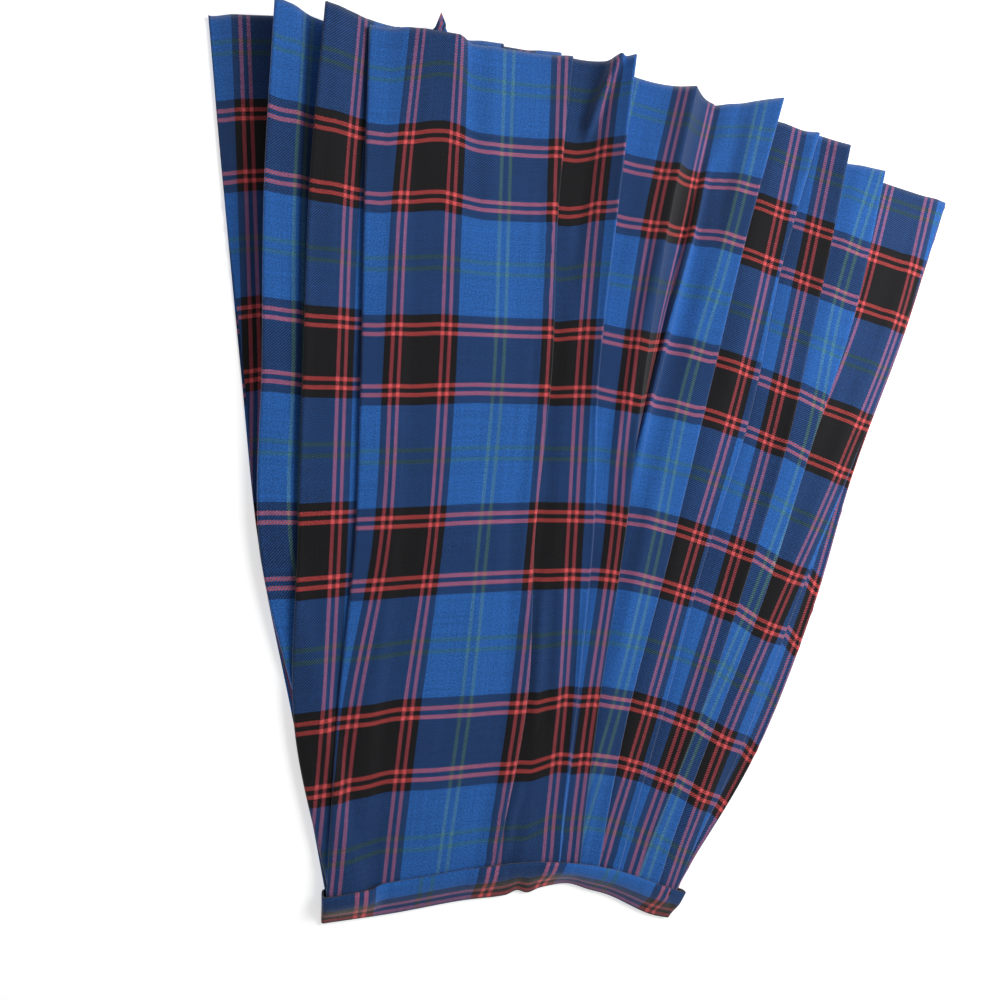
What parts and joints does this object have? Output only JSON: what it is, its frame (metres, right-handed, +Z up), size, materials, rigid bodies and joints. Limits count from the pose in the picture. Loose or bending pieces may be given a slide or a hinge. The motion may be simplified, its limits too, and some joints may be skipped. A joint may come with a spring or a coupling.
{
  "type": "pleated tartan skirt",
  "caption": "Long knife-pleated tartan skirt laid flat, fanning out from a narrow waistband to a wide stepped hem.",
  "frame": {"origin": "on the surface the skirt lies on, below the middle of its bounding box", "axes": "+Z up from the surface; +Y from the waistband towards the hem; +X to the wearer's left, with the front uppermost"},
  "size_m": [0.689, 0.7566, 0.039],
  "materials": {
    "tartan": "soft matt brushed twill, woven blue and black tartan with red and green lines"
  },
  "bodies": {
    "root": {"skirt_front": "tartan", "skirt_back": "tartan", "waistband": "tartan"}
  },
  "joints": []
}
